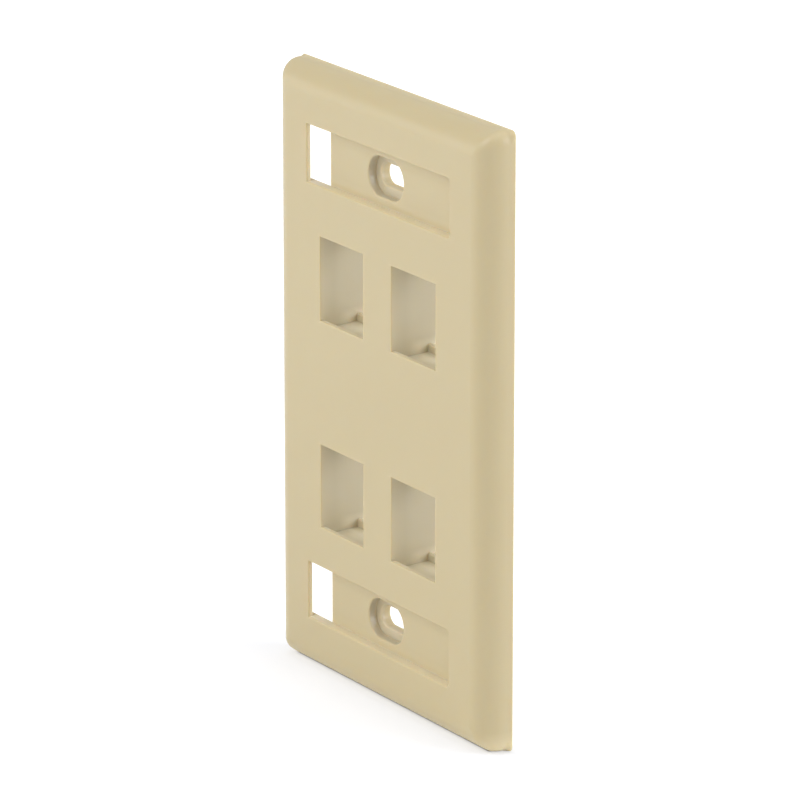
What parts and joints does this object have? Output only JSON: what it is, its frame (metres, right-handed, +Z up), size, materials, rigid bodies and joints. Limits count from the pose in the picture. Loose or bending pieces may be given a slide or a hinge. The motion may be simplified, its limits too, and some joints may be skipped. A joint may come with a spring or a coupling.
{
  "type": "keystone faceplate",
  "caption": "Moulded single-gang wall faceplate with keystone jack openings, sunk label windows and countersunk screw slots.",
  "frame": {"origin": "centre of the plate in the plane of its back rim, where it meets the wall", "axes": "+Z up the plate's height, +Y into the wall, +X to the right as seen from the room"},
  "size_m": [0.0698, 0.0099, 0.1142],
  "materials": {
    "ivory_plastic": "satin ivory moulding"
  },
  "bodies": {
    "root": {"faceplate": "ivory_plastic"}
  },
  "joints": []
}
